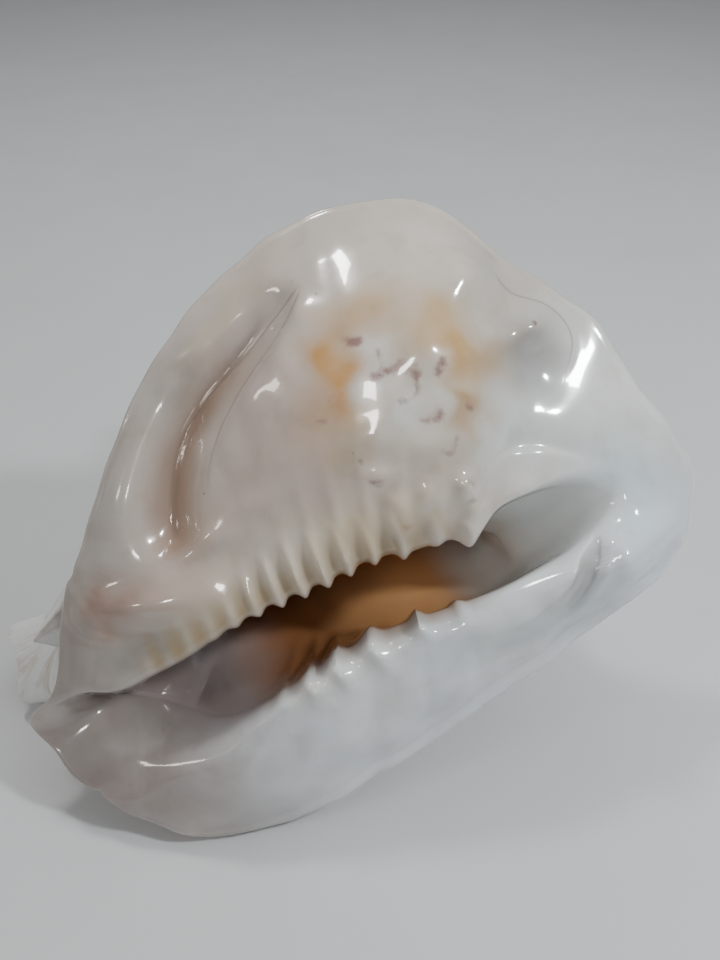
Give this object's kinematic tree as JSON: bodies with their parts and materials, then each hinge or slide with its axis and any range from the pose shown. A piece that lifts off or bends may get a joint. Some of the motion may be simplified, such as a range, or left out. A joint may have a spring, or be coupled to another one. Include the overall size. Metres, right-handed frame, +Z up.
{
  "type": "helmet shell",
  "caption": "Large horned sea shell lying on its back: a heavy coiled body with a wide polished face round a long slit mouth.",
  "frame": {"origin": "on the surface that the shell rests on, under the middle of its box", "axes": "+Z up, +X towards the shell's back end and spire as seen from the front, +Y away from the viewer that the mouth faces; the mouth looks up and towards -Y"},
  "size_m": [0.2842, 0.2176, 0.1882],
  "materials": {
    "shell": "Natural shell. The face, the lip and the shield are glossy porcelain, bluish white to pinkish beige with tan and purple-brown stains. The mouth's inside is orange-brown and glossy. The outside of the body, its horns and the spout are matt chalky white with faint growth lines."
  },
  "bodies": {
    "root": {"shell": "shell"}
  },
  "joints": []
}
